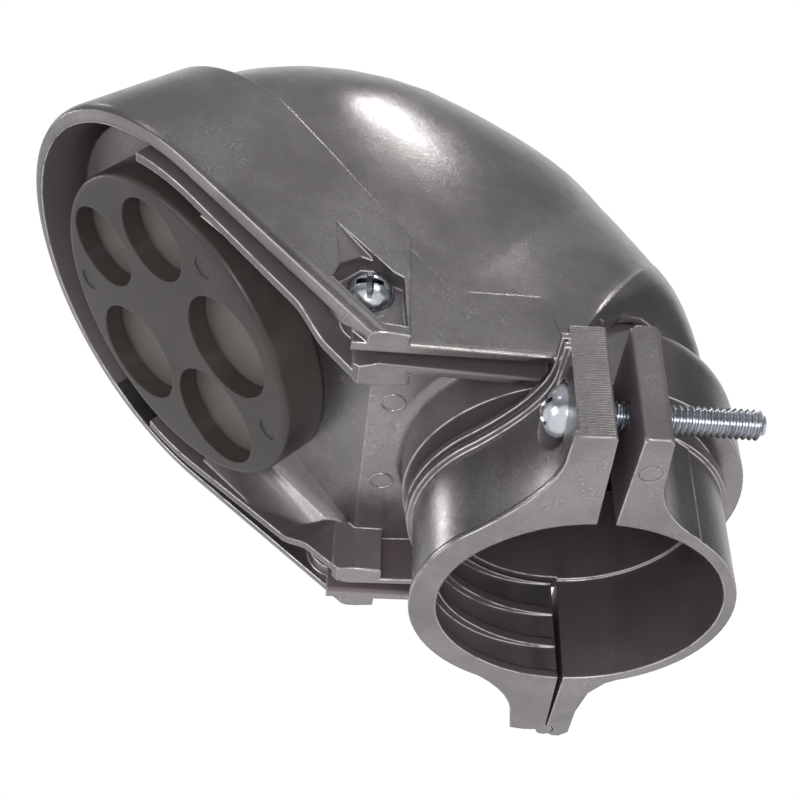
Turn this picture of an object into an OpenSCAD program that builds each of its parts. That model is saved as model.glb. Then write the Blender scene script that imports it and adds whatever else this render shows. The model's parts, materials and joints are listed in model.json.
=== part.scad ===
// Service entrance weatherhead with a clamp-on collar, for the top of a conduit mast.
// Frame: +Z is the conduit axis, the origin is on it at the foot of the collar.
// The nose points to -Y, and the mouth faces down and forward.
// Positions along the mouth use the mouth frame: x as usual, t down the mouth's
// slope towards the collar, n square to it and into the hood.

/* [Conduit and collar] */
// Radius of the closed collar's bore, for a trade size 2 conduit of 60.3 mm
bore_r = 30.7; // [26:0.1:36]
// Height of the collar
collar_h = 27; // [22:0.5:34]
// Wall of the half collar that is cast with the body
collar_wall = 2.7; // [2.5:0.1:5]
// Wall of the loose half collar, between its raised edges
clamp_wall = 3.6; // [3:0.1:5]
// Height of the grip ribs inside the loose half
grip_h = 1.5; // [0.5:0.1:2]
// Offset of the parting face behind the conduit axis
parting_y = 1.6; // [0:0.1:3]
// Reach of the lugs from the conduit axis
lug_reach = 58.5; // [54:0.5:66]
// Thickness of each lug
lug_t = 6.6; // [5:0.1:9]
// Height of the lugs on the screw's side
lug_h = 29.5; // [27:0.5:36]
// Angle by which the loose half stands open
open_angle = 2.4; // [0.5:0.1:3]

/* [Clamp screw] */
// Outside diameter of the thread
screw_d = 6.35; // [5:0.05:8]
// Length under the head
screw_len = 40.5; // [32:0.5:50]
// Distance of the screw from the lugs' outer ends
screw_inset = 11.5; // [9:0.5:14]
// Height of the screw above the collar's foot
screw_z = 15; // [10:0.5:20]
// Diameter of the round head
screw_head_d = 12; // [10:0.1:14]

/* [Body] */
// Outside radius of the neck ring
neck_r = 39; // [38:0.5:44]
// Height of the neck ring's lower edge
neck_z = 30.5; // [29:0.5:36]
// Radius of the throat above the collar
throat_r = 30; // [26:0.5:31]
// Thickness of the mouth plate
plate_t = 3; // [2:0.1:5]
// Depth of the mouth plate's outer face behind the conduit's foot plane
plate_n = -4; // [-8:0.5:0]
// Thickness of the wall round the plate
wall_t = 2.3; // [1.8:0.1:4]
// Distance of the wall's inner face from the disk's centre, at the nose
wall_r = 47.6; // [45:0.1:50]
// Taper of the wall towards the neck
wall_taper = 8.3; // [6:0.1:10]
// Level of the wall's end face
wall_n = -15.6; // [-18:0.1:-12]
// Half distance between the side walls beside the neck
side_wall_x = 39; // [38.5:0.1:40]
// Gap between a side wall and the hood's panel
panel_gap = 3.2; // [2.5:0.1:4.5]
// How far the wall draws in towards the neck
wall_draw_in = 4.2; // [2:0.1:5]

/* [Insert] */
// Radius of the insert's disk
disk_r = 41.4; // [38:0.1:44]
// Distance of the disk's centre from the origin, along the mouth
disk_t = -119.4; // [-124:0.1:-115]
// Level of the disk's face
disk_n = -16.1; // [-19:0.1:-12]
// Thickness of the disk's face
disk_wall = 2.6; // [1.5:0.1:4]
// Radius of the large knockouts
large_ko_r = 13.6; // [11:0.1:15]
// Radius of the small knockouts
small_ko_r = 11; // [9:0.1:12]
// Depth of the knockouts
ko_depth = 5.4; // [3:0.1:6]

/* [Hood] */
// Gap between the body's wall and the hood's rim
rim_gap = 4; // [2.5:0.1:6]
// Thickness of the rim's end face
rim_wall = 3.4; // [2.5:0.1:4.5]
// Distance of the rim's centre from the origin, along the mouth
rim_t = -120; // [-124:0.1:-116]
// Taper of the rim towards the neck
rim_taper = 5.6; // [3:0.1:8]
// Level of the rim
rim_n = -14.7; // [-18:0.1:-12]
// Inward draft of the band from the rim to the seam
band_draft = 3; // [1:0.1:5]
// Wall of the hood
hood_wall = 3; // [2:0.1:4.5]
// Height of the dome above its base line
dome_h = 81.5; // [75:0.5:90]
// Half width of the dome at the nose
dome_r = 49.5; // [48:0.5:53]
// Level of the panels' lower edge
panel_z = 29.8; // [28:0.1:33]

/* [Cover screws] */
// Diameter of a cover screw's shank
cover_screw_d = 5.5; // [4:0.1:6.5]
// Diameter of its round head
cover_head_d = 10.8; // [9:0.1:13]
// Place of the screws along the mouth
cover_t = -67; // [-69:0.5:-65]
// Level of the screws
cover_n = -4.6; // [-6:0.1:-4]

/* [Hidden] */

$fn = 96;
mouth_tilt = -45;
slip = 0.4;             // clearance between loose pieces
thread_play = 0.05;     // a screw in its threaded hole
big = 400;
s2 = sqrt(2);

aluminium = "#8d8b88";
dark_plastic = "#3a3634";
zinc = "#b9bcc0";

seam_nose_n = 17.6;
seam_rear_n = 10;
dome_rows = 44;
dome_cols = 36;
dome_base_n = 12;       // the dome's base line starts just under the seam
dome_mid_t = -86;       // crest of the dome
dome_front = 85.5;      // crest to nose
dome_back = 112.2;      // half axis of the crest line behind the crest
dome_end_t = -12.4;       // where the crest line meets the rear edge
front_power = 1.9;      // roundness of the crest line before and behind the crest
back_power = 1.48;
rear_power = 1.6;       // roundness of the rear edge in plan
side_y = -10;           // rear end of the straight sides
side_half = 46.5;       // half width of the dome there
neck_seat = 2;          // rounding in of the neck ring towards the hood's rear edge
rim_r = wall_r + wall_t + rim_gap + rim_wall;
panel_x = side_wall_x + wall_t + panel_gap + hood_wall;
screw_x = lug_reach - screw_inset;
clamp_h = collar_h - 0.5;
hook_inset = 2.5;       // pivot of the hook, in from the rear of the collar's hook side
pivot = [-lug_reach + hook_inset, 1.2];
edge_h = 0.9;            // height of the raised edges on the loose half
knuckle_r = 2;          // hook on the loose half, round about the pivot
parting_play = 0.3;     // the loose half stops short of the parting plane
clamp_seat_y = parting_y - parting_play - lug_t - 0.6;   // under the screw's head, closed
rib_pitch = 8.8;
rib_gaps = [for (i = [0:2]) 2 + i * rib_pitch];
panel_y = -42;          // front end of the side panels
wall_rear_t = -54;      // rear end of the inside of the wall
seat_x = panel_x - 1;   // floor of the recesses for the cover screws
seat_floor_z = panel_z + 2.6;
seat_top_n = cover_n + cover_head_d / 2 + 0.5;
foot_x = 35;            // where the wall's foot runs out into the plate
seat_backing_r = 8.5;
seat_fade_t = -84;      // where the recesses run out towards the nose
pocket_z = 42.3;        // ledge before the neck and floor of the pockets beside it
bend_y = plate_n * s2 - pocket_z;   // where the plate bends into the ledge
block_y = -41;          // rear end of the thick part of the side walls
side_end_y = -12;
wall_in_t = -78;        // where the wall starts to draw in

// Puts its children in the mouth frame.
module in_mouth() {
    rotate([mouth_tilt, 0, 0]) children();
}

// World [y, z] of a point [t, n] of the mouth frame.
function to_world(t, n) = [(t + n) / s2, (n - t) / s2];

// Half width of the rim at a place along the mouth.
function rim_half(t) = (rim_r - (t - rim_t) * sin(rim_taper)) / cos(rim_taper);

// Outline of a plate that is round at the nose and narrows towards the neck.
// r is its radius at the nose and taper the slope of its sides.
function slipper(r, taper, rear_t, centre_t = disk_t, steps = 64) =
    let (sweep = 90 + taper,
         rear_x = (r - (rear_t - centre_t) * sin(taper)) / cos(taper))
    concat([[-rear_x, rear_t]],
           [for (i = [0:steps])
                let (a = -sweep + 2 * sweep * i / steps)
                [r * sin(a), centre_t - r * cos(a)]],
           [[rear_x, rear_t]]);

// Joins rows of points, each row a closed ring of the same length.
module loft(rows) {
    m = len(rows[0]);
    last = len(rows) - 1;
    polyhedron(
        points = [for (row = rows) each row],
        faces = concat(
            [[for (j = [0:m - 1]) j]],
            [for (i = [0:last - 1], j = [0:m - 1])
                let (k = (j + 1) % m)
                [i * m + j, (i + 1) * m + j, (i + 1) * m + k, i * m + k]],
            [[for (j = [m - 1:-1:0]) last * m + j]]),
        convexity = 10);
}

// Slab in the side view: a polygon of world [y, z] points, run across X.
module side_slab(points, half = big / 2) {
    rotate([90, 0, 90])
        translate([0, 0, -half])
            linear_extrude(2 * half) polygon(points);
}

// ---------------------------------------------------------------- hood

function power_arc(u, p) = pow(max(0, 1 - pow(u, p)), 1 / p);

// Crest line of the dome in the mouth frame, for a shell that is inset.
function crest_n(t, inset) =
    t < dome_mid_t
        ? dome_base_n + (dome_h - inset)
              * power_arc(min(1, (dome_mid_t - t) / (dome_front - inset)), front_power)
        : dome_base_n + (dome_h - inset)
              * power_arc((t - dome_mid_t) / (dome_back - inset), back_power);

function dome_tip_t(inset) = dome_mid_t - (dome_front - inset);
function mix(a, b, f) = a + (b - a) * f;

// A station of the dome: [base y, base z, half width, crest y, crest z].
function station(u, inset) =
    let (drop = inset > 0 ? 4 : 0,
         tip = dome_tip_t(inset),
         rear = to_world(dome_end_t - inset * 0.7,
                         crest_n(dome_end_t - inset * 0.7, inset)),
         front_base = to_world(disk_t, dome_base_n - drop),
         neck_base = [-40, 38 - drop],
         side_base = [side_y, 31 - drop])
    u < 1
        ? let (a = 90 * u,
               t = mix(disk_t, tip, cos(a)),
               base = to_world(t, dome_base_n - drop * (1 - cos(a))),
               crest = to_world(t, crest_n(t, inset)))
          [base[0], base[1], (dome_r - inset) * sin(a), crest[0], crest[1]]
    : u < 2
        ? let (f = u - 1,
               base = mix(front_base, neck_base, f),
               t = mix(disk_t, -70, f),
               crest = to_world(t, crest_n(t, inset)))
          [base[0], base[1], mix(dome_r, 47, f) - inset, crest[0], crest[1]]
    : u < 3
        ? let (f = u - 2,
               base = mix(neck_base, side_base, f),
               t = mix(-70, -48, f),
               crest = to_world(t, crest_n(t, inset)))
          [base[0], base[1], mix(47, side_half, f) - inset, crest[0], crest[1]]
        : let (a = 90 * (u - 3),
               f = pow(sin(a), 2 / rear_power),
               t = mix(-48, dome_end_t - inset * 0.7, f),
               crest = to_world(t, crest_n(t, inset)))
          [mix(side_base[0], rear[0], f),
           mix(side_base[1], rear[1], min(1, sin(a) / 0.48)),
           (side_half - inset) * pow(cos(a), 2 / rear_power), crest[0], crest[1]];

function arch(st, power = 2) =
    [for (j = [0:dome_cols])
        let (a = 180 * j / dome_cols,
             c = cos(a),
             x = st[2] * sign(c) * pow(abs(c), 2 / power),
             h = pow(sin(a), 2 / power))
        [x, mix(st[0], st[3], h), mix(st[1], st[4], h)]];

// Solid dome: elliptical arches that fan from the nose round to the rear edge.
module dome(inset) {
    m = dome_cols + 1;
    n = dome_rows - 1;
    stations = [for (i = [1:n]) station(4 * i / dome_rows, inset)];
    nose = station(0, inset);
    rear = station(4, inset);
    tip_a = n * m;
    tip_b = tip_a + 1;
    polyhedron(
        points = concat([for (st = stations) each arch(st)],
                        [[0, nose[0], nose[1]], [0, rear[0], rear[1]]]),
        faces = concat(
            [for (i = [0:n - 2], j = [0:m - 1])
                let (k = (j + 1) % m)
                each [[i * m + j, i * m + k, (i + 1) * m + k],
                      [i * m + j, (i + 1) * m + k, (i + 1) * m + j]]],
            [for (j = [0:m - 1]) [tip_a, (j + 1) % m, j]],
            [for (j = [0:m - 1]) [tip_b, (n - 1) * m + j, (n - 1) * m + (j + 1) % m]]),
        convexity = 10);
}

// The band between rim and seam, as rings of [level, inset].
module band(levels) {
    in_mouth()
        loft([for (lv = levels)
                [for (p = slipper(rim_r - lv[1], rim_taper, -36, rim_t)) [p[0], p[1], lv[0]]]]);
}

// Side view of the band and the panels, up to the seam.
function seam_profile(grow = 0) =
    [to_world(-200, rim_n - 20), to_world(-200, seam_nose_n + grow),
     to_world(disk_t, seam_nose_n + grow), to_world(-101, 15.6 + grow),
     to_world(-75, 12.3 + grow), to_world(wall_rear_t, seam_rear_n + grow),
     [-30, 46.6 + grow], [-14, 46.6 + grow], [-12, 45 + grow], [-9.5, panel_z],
     [panel_y, panel_z], [-50.5, panel_z], to_world(-61, rim_n - 20)];

module hood_outer() {
    dome(0);
    intersection() {
        band([[rim_n, 2], [rim_n + 0.5, 0.8], [rim_n + 1.6, 0.15], [rim_n + 3, 0],
              [22, band_draft * 1.2]]);
        side_slab(seam_profile());
        translate([-big / 2, -big, panel_z]) cube([big, big + panel_y, big]);
    }
    // side panels beside the neck
    intersection() {
        side_slab(seam_profile(), panel_x);
        translate([-big / 2, -56, panel_z]) cube([big, 50, 30]);
    }
}

module hood_inner() {
    dome(hood_wall);
    intersection() {
        band([[rim_n - 5, hood_wall + 0.4], [22, band_draft * 1.2 + hood_wall]]);
        translate([-big / 2, -big, -big / 2]) cube([big, big + panel_y - hood_wall, big]);
        in_mouth() translate([-big / 2, -big / 2, -big / 2])
            cube([big, big, big / 2 + dome_base_n]);
    }
    translate([-panel_x + hood_wall, panel_y - 12, 0])
        cube([2 * (panel_x - hood_wall), -panel_y + 22, 44]);
    neck_shoulder(slip, neck_z);
    cylinder(r = throat_r + slip, h = rear_edge_z() + 2);
}

// Recess beside the rim that takes the head of a cover screw; it runs out
// towards the nose on a slanted floor.
module seat_recess() {
    head = to_world(cover_t, cover_n);
    translate([seat_x, 0, 0])
        side_slab_out([[panel_y - 0.6, seat_floor_z], [panel_y - 1.4, 46.4],
                       to_world(cover_t + 1, seat_top_n), to_world(cover_t - 4.6, seat_top_n),
                       to_world(cover_t - 6.6, seat_top_n - 2),
                       to_world(cover_t - 7, cover_n - 2), to_world(cover_t - 5, rim_n + 3.8),
                       to_world(seat_t(rim_n + 3.8), rim_n + 3.8)]);
    in_mouth() {
        run_out = [[seat_fade_t, seat_top_n, rim_half(seat_fade_t) - 1.6],
                   [cover_t - 5, seat_top_n, rim_half(cover_t - 5) - 3.2],
                   [cover_t - 5, cover_n - 4, rim_half(cover_t - 5) - 0.6]];
        polyhedron(
            points = concat([for (p = run_out) [p[2], p[0], p[1]]],
                            [for (p = run_out) [rim_r + 5, p[0], p[1]]]),
            faces = [[2, 1, 0], [3, 4, 5], [0, 1, 4, 3], [1, 2, 5, 4], [2, 0, 3, 5]]);
    }
}

// Place along the mouth where level n meets the recess's floor edge.
function seat_t(n) = n - seat_floor_z * s2;

module side_slab_out(points) {
    rotate([90, 0, 90]) linear_extrude(20) polygon(points);
}

module at_cover_screw(side) {
    place = to_world(cover_t, cover_n);
    translate([0, place[0], place[1]])
        rotate([0, side * 90, 0]) children();
}

module seat_backing() {
    translate([0, 0, panel_x - hood_wall]) cylinder(r = seat_backing_r, h = 20);
}

module hood() {
    color(aluminium)
        difference() {
            hood_outer();
            difference() {
                hood_inner();
                // the wall is drawn in behind the recesses
                for (side = [-1, 1]) {
                    at_cover_screw(side) seat_backing();
                    translate([side * (panel_x - hood_wall + 10) - 10, panel_y - 12, panel_z - 1])
                        cube([20, 12 - hood_wall, 14]);
                }
            }
            for (side = [-1, 1])
                at_cover_screw(side)
                    translate([0, 0, side_wall_x])
                        cylinder(d = cover_screw_d + 2 * slip, h = 20);
            seat_recess();
            mirror([1, 0, 0]) seat_recess();
        }
}

// ---------------------------------------------------------------- body

module slipper_plate(r, taper, rear_t, low, high) {
    translate([0, 0, low])
        linear_extrude(high - low) polygon(slipper(r, taper, rear_t));
}

// Half width of the wall's centre line at a place along the mouth; the wall
// draws in towards the neck, which leaves room for the screw bosses.
function wall_half(t) =
    let (s = min(1, max(0, (t - wall_in_t) / 10)))
    (wall_r + wall_t / 2 - (t - disk_t) * sin(wall_taper)) / cos(wall_taper)
        - wall_draw_in * s * s * (3 - 2 * s);

boss_floor_x = wall_half(cover_t) + wall_t / 2;

// Region inside the wall's centre line, grown by a margin, as far as rear_t.
module inside_wall(margin, rear_t) {
    steps = [for (t = [wall_in_t:rear_t]) [wall_half(t) + margin / cos(wall_taper), t]];
    arc = slipper(wall_r + wall_t / 2 + margin, wall_taper, wall_in_t);
    polygon(concat([for (i = [len(steps) - 1:-1:1]) [-steps[i][0], steps[i][1]]],
                   arc,
                   [for (i = [1:len(steps) - 1]) steps[i]]));
}

// Wall that stands round the plate and stops short of the nose.
module body_wall() {
    in_mouth() translate([0, 0, wall_n])
        linear_extrude(6 - wall_n)
            difference() {
                inside_wall(wall_t / 2, wall_rear_t);
                inside_wall(-wall_t / 2, -50);
                translate([-big / 2, -big - 131]) square([big, big]);
            }
}

// The mouth plate, with sloped feet of the wall along its straight sides.
module mouth_plate() {
    in_mouth() {
        translate([0, 0, plate_n]) linear_extrude(plate_t) inside_wall(wall_t / 2, wall_rear_t);
        difference() {
            intersection() {
                translate([0, 0, wall_n]) linear_extrude(20) inside_wall(0, wall_rear_t);
                for (side = [-1, 1])
                    translate([0, -58, 0]) rotate([90, 0, 0])
                        linear_extrude(52)
                            polygon([[side * foot_x, plate_n + 0.5], [side * foot_x, plate_n],
                                     [side * (foot_x + 3), plate_n - 1.5],
                                     [side * (foot_x + 5.5), plate_n - 4.5],
                                     [side * (foot_x + 9), wall_n + 1],
                                     [side * (foot_x + 12), plate_n + 0.5]]);
            }
            translate([0, disk_t, wall_n - 1]) cylinder(r = disk_r + 2 * slip, h = 30);
        }
    }
}

// Wall beside the neck: thick behind the plate, then thin as far as the ring.
module side_wall() {
    outer = side_wall_x + wall_t;
    intersection() {
        linear_extrude(pocket_z + 1.3)
            polygon([[wall_half(-57) - wall_t / 2, -53], [outer - 1.5, -53],
                     [outer, bend_y], [outer - 1.8, side_end_y],
                     [side_wall_x - 2.2, side_end_y], [side_wall_x, block_y - 0.8],
                     [side_wall_x - 0.8, block_y], [wall_half(-57) - wall_t / 2, block_y]]);
        translate([-big / 2, -big / 2, panel_z]) cube([big, big, big]);
        in_mouth() translate([-big / 2, -big / 2, wall_n]) cube([big, big, big]);
    }
}

// Boss for a cover screw, on the outside of the wall.
module screw_boss(side) {
    difference() {
        at_cover_screw(side)
            translate([0, 0, wall_half(cover_t) - 2])
                cylinder(r = cover_screw_d / 2 + 3,
                         h = panel_x - hood_wall - slip - wall_half(cover_t) + 2);
        in_mouth() translate([0, 0, wall_n - 1]) linear_extrude(40) inside_wall(0, wall_rear_t);
    }
}

module rear_collar() {
    difference() {
        union() {
            cylinder(r = bore_r + collar_wall, h = collar_h);
            translate([0, 0, collar_h - 3]) cylinder(r = bore_r + collar_wall + 1.2, h = 3);
            linear_extrude(lug_h)
                polygon(concat([[28, parting_y], [lug_reach, parting_y],
                                [lug_reach, parting_y + lug_t - 0.8]],
                               bend([46, parting_y + lug_t + 0.1],
                                    [35, parting_y + lug_t + 0.4],
                                    [27, parting_y + lug_t + 12])));
            linear_extrude(collar_h)
                polygon([[-30, parting_y], [-lug_reach + 1.5, parting_y],
                         [-lug_reach, parting_y + 2], [-lug_reach, parting_y + lug_t - 3],
                         [-lug_reach + 2, parting_y + lug_t - 1],
                         [-46, parting_y + lug_t - 1], [-37, parting_y + lug_t + 0.4],
                         [-32, parting_y + lug_t + 3.5], [-28, parting_y + lug_t + 9]]);
            // shoulder that ties the half collar to the neck
            translate([0, 0, collar_h - 1])
                cylinder(r = bore_r + 2.4, h = neck_z - collar_h + 3);
        }
        translate([-big / 2, -big + parting_y, -1]) cube([big, big, collar_h + 1.5]);
        translate([pivot[0], pivot[1], -1])
            cylinder(r = knuckle_r + parting_play, h = collar_h + 1.5);
    }
}

// Height of the hood's rear edge, where the crest line comes down.
function rear_edge_z() = to_world(dome_end_t, crest_n(dome_end_t, 0))[1];

// Ring of the neck and its rounded shoulder, which goes up under the hood.
module neck_shoulder(grow, low) {
    top = rear_edge_z() - slip + grow;
    rotate_extrude()
        polygon(concat(
            [[0, low], [neck_r + grow, low]],
            [for (a = [0:10:70])
                [neck_r + grow - neck_seat / (1 - cos(70)) * (1 - cos(a)),
                 top - 7 + 7 * sin(a) / sin(70)]],
            [[0, top]]));
}

module neck() {
    // ring, with a concave fillet under the ledge
    r = 2.5;
    rotate_extrude()
        polygon(concat(
            [[throat_r - 2, neck_z], [neck_r - 0.8, neck_z], [neck_r, neck_z + 0.8]],
            [for (a = [0:15:90]) [neck_r + r * (1 - cos(a)), pocket_z - r + r * sin(a)]],
            [[neck_r + r, pocket_z + 1], [throat_r - 2, pocket_z + 1]]));
}

module body() {
    color(aluminium)
        difference() {
            union() {
                rear_collar();
                intersection() {
                    union() {
                        mouth_plate();
                        body_wall();
                    }
                    union() {
                        translate([-big / 2, -big + bend_y, panel_z]) cube([big, big, big]);
                        translate([-big / 2, -big + bend_y + 3, pocket_z])
                            cube([big, big, big]);
                    }
                }
                side_wall();
                mirror([1, 0, 0]) side_wall();
                // ledge before the neck and floor of the pockets beside it
                translate([-side_wall_x - 1, bend_y, pocket_z])
                    cube([2 * side_wall_x + 2, side_end_y - bend_y, plate_t]);
                intersection() {
                    neck();
                    union() {
                        cylinder(r = neck_r, h = 60);
                        translate([-side_wall_x, -90, 0]) cube([2 * side_wall_x, 76, 90]);
                    }
                }
                neck_shoulder(0, neck_z);
                for (side = [-1, 1]) screw_boss(side);
            }
            translate([0, 0, -1]) cylinder(r = bore_r, h = collar_h + 1);
            cylinder(r = throat_r, h = 90);
            in_mouth() translate([0, disk_t, 0]) {
                translate([0, 0, -30]) cylinder(r = disk_r - 3, h = 60);
            }
            for (side = [-1, 1])
                at_cover_screw(side)
                    translate([0, 0, boss_floor_x])
                        cylinder(d = cover_screw_d + 2 * thread_play, h = 20);
            translate([screw_x, 0, screw_z]) rotate([-90, 0, 0])
                cylinder(d = screw_d + 2 * thread_play, h = 20);
        }
}

// ---------------------------------------------------------------- insert

// Knockouts as [x, t, radius], measured from the disk's centre.
knockouts = [[8.5, -26.4, small_ko_r], [25.5, -6.7, small_ko_r],
             [10.8, 20, large_ko_r], [-18, 16.1, large_ko_r],
             [-20, -14.1, large_ko_r]];

module insert() {
    back = plate_n + plate_t + 2;
    color(dark_plastic)
        in_mouth() translate([0, disk_t, 0])
            difference() {
                union() {
                    rotate_extrude()
                        polygon(concat(
                            [[0, disk_n], [disk_r - 2, disk_n]],
                            [for (a = [-80:20:0]) [disk_r - 1.6 + 1.6 * cos(a),
                                                   disk_n + 1.6 + 1.6 * sin(a)]],
                            [[disk_r, plate_n - slip / 2], [disk_r - 3 - slip, plate_n - slip / 2],
                             [disk_r - 3 - slip, back], [disk_r - 5.5, back],
                             [disk_r - 5.5, disk_n + disk_wall], [0, disk_n + disk_wall]]));
                    for (k = knockouts)
                        translate([k[0], k[1], disk_n + 0.5])
                            cylinder(r = k[2] + 1.6, h = ko_depth + 0.7);
                }
                for (k = knockouts)
                    translate([k[0], k[1], disk_n - 1])
                        cylinder(r = k[2], h = ko_depth + 1);
            }
}

// ---------------------------------------------------------------- clamp

// Turns its children from the closed to the open place of the loose half.
module opened() {
    translate([pivot[0], pivot[1], 0]) rotate([0, 0, -open_angle])
        translate([-pivot[0], -pivot[1], 0]) children();
}

// Points of a soft bend from a to c that leans towards b.
function bend(a, b, c, steps = 8) =
    [for (i = [0:steps]) let (f = i / steps)
        (1 - f) * (1 - f) * a + 2 * f * (1 - f) * b + f * f * c];

// Plan of the loose half, which sweeps out into its two lugs, grown outward.
module closed_plan(grow = 0) {
    r = bore_r + clamp_wall + grow;
    circle(r);
    polygon(concat([[24, parting_y]],
                   bend([r * cos(40), -r * sin(40)], [40.5, -8 - grow],
                        [lug_reach - 8.5, -6.8 - grow]),
                   [[lug_reach, -6.2 - grow], [lug_reach, parting_y]]));
    polygon(concat([[-24, parting_y]],
                   bend([-r * sin(46), -r * cos(46)], [-35.5, -7.2 - grow], [-49, -7 - grow]),
                   [[pivot[0] + 1, -6.4 - grow], [pivot[0] + 0.2, -4],
                    [pivot[0] + 0.2, parting_y]]));
}

// The loose half in its closed place.
module closed_half() {
    difference() {
        union() {
            linear_extrude(clamp_h) closed_plan();
            // raised edges round the outside
            for (edge = [[0, 1.4, 0], [clamp_h - 4, 1.5, 0.4], [clamp_h - 1.5, 1.5, 0.7]])
                translate([0, 0, edge[0]])
                    linear_extrude(edge[1]) closed_plan(edge_h + edge[2]);
            linear_extrude(lug_h - 1)
                polygon([[44, parting_y], [44, -8], [46, -7.6], [lug_reach, -6.2],
                         [lug_reach, parting_y]]);
            side_web();
        }
        translate([-big / 2, parting_y - parting_play, -1]) cube([big, big, 60]);
        translate([0, 0, -1]) cylinder(r = bore_r - grip_h, h = 60);
        for (z = rib_gaps)
            translate([0, 0, z]) cylinder(r = bore_r + 0.3, h = 6.4);
        translate([screw_x, -30, screw_z]) rotate([-90, 0, 0]) {
            cylinder(d = screw_d + 2, h = 60);
            cylinder(d = screw_head_d + 2.4, h = 30 + clamp_seat_y);
        }
    }
    translate([pivot[0], pivot[1], 0]) cylinder(r = knuckle_r, h = clamp_h);
}

// Web from the collar's upper edge to the top of the lug.
module side_web() {
    translate([0, parting_y, 0]) rotate([90, 0, 0])
        linear_extrude(8.6)
            polygon([[33, clamp_h - 3], [33, clamp_h], [36, clamp_h + 0.2],
                     [45, lug_h - 1.2], [45, clamp_h - 3]]);
}

module clamp_half() {
    color(aluminium)
        difference() {
            opened() closed_half();
            translate([0, 0, -1]) cylinder(r = bore_r, h = 60);
        }
}

// ---------------------------------------------------------------- screws

// A round-headed screw along +Z; its head sits below z = 0.
module round_screw(d, len, head_d) {
    head_h = head_d * 0.42;
    dome_r = (head_d * head_d / 4 + head_h * head_h) / (2 * head_h);
    cylinder(d = d, h = len - 1);
    translate([0, 0, len - 1]) cylinder(d1 = d, d2 = d - 1.6, h = 1);
    difference() {
        intersection() {
            translate([0, 0, dome_r - head_h]) sphere(dome_r);
            translate([0, 0, -head_h]) cylinder(d = head_d, h = head_h);
        }
        translate([-head_d / 2, -0.7, -head_h - 1]) cube([head_d, 1.4, 1 + head_h * 0.5]);
    }
}

module clamp_screw() {
    // bearing face of the open lug under the far side of the head
    seat_y = pivot[1] + (clamp_seat_y - pivot[1]) * cos(open_angle)
             - (screw_x + screw_head_d / 2 - pivot[0]) * sin(open_angle);
    color(zinc)
        translate([screw_x, seat_y - slip, screw_z])
            rotate([-90, 0, 0]) round_screw(screw_d, screw_len, screw_head_d);
}

module cover_screw(side) {
    head_x = seat_x + slip;
    color(zinc)
        at_cover_screw(side)
            translate([0, 0, head_x]) rotate([180, 0, 0])
                round_screw(cover_screw_d, head_x - boss_floor_x - slip, cover_head_d);
}

module cover_screw_right() { cover_screw(1); }

module cover_screw_left() { cover_screw(-1); }

body();
hood();
insert();
clamp_half();
clamp_screw();
cover_screw_right();
cover_screw_left();
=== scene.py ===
"""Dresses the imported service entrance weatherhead: finishes, threads and studio.

The castings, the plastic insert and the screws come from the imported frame. Each one is
shown by a welded, smoothly shaded copy of its solid in a procedural finish, and the screw
threads and driver recesses are modelled here.
"""

from __future__ import annotations

import json
import logging
import math
from collections.abc import Callable, Sequence
from dataclasses import dataclass
from enum import Enum
from typing import Any

import bmesh
import bpy
from mathutils import Matrix, Vector
from mathutils.bvhtree import BVHTree

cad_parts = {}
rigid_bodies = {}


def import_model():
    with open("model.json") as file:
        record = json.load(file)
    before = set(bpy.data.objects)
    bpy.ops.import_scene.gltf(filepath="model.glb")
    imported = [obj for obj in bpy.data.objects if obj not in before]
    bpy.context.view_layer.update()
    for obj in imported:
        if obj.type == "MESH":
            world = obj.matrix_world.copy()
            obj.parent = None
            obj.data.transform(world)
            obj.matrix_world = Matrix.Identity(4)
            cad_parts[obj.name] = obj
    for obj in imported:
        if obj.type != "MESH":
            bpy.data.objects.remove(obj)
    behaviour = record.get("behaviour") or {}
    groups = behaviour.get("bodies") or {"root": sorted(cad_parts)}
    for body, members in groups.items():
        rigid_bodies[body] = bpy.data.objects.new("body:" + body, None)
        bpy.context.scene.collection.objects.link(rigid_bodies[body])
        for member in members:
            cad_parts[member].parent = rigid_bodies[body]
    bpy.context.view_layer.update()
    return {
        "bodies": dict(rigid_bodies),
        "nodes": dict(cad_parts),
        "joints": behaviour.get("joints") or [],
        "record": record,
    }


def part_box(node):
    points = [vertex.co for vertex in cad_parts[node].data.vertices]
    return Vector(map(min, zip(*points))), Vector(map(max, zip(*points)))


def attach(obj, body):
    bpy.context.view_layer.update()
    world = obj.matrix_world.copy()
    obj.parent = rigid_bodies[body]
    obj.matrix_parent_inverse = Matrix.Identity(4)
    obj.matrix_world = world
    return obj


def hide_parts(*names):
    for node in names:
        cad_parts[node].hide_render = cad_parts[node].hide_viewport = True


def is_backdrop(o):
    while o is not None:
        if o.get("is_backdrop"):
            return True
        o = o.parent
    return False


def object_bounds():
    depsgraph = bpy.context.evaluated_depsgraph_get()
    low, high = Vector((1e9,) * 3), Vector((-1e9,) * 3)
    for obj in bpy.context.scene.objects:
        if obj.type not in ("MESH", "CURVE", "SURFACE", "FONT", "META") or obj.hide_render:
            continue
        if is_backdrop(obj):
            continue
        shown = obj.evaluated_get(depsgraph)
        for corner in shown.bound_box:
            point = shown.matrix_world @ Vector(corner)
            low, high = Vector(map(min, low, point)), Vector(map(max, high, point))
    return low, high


log = logging.getLogger("weatherhead")

Colour = tuple[float, float, float]
Place = tuple[float, float, float]

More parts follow.
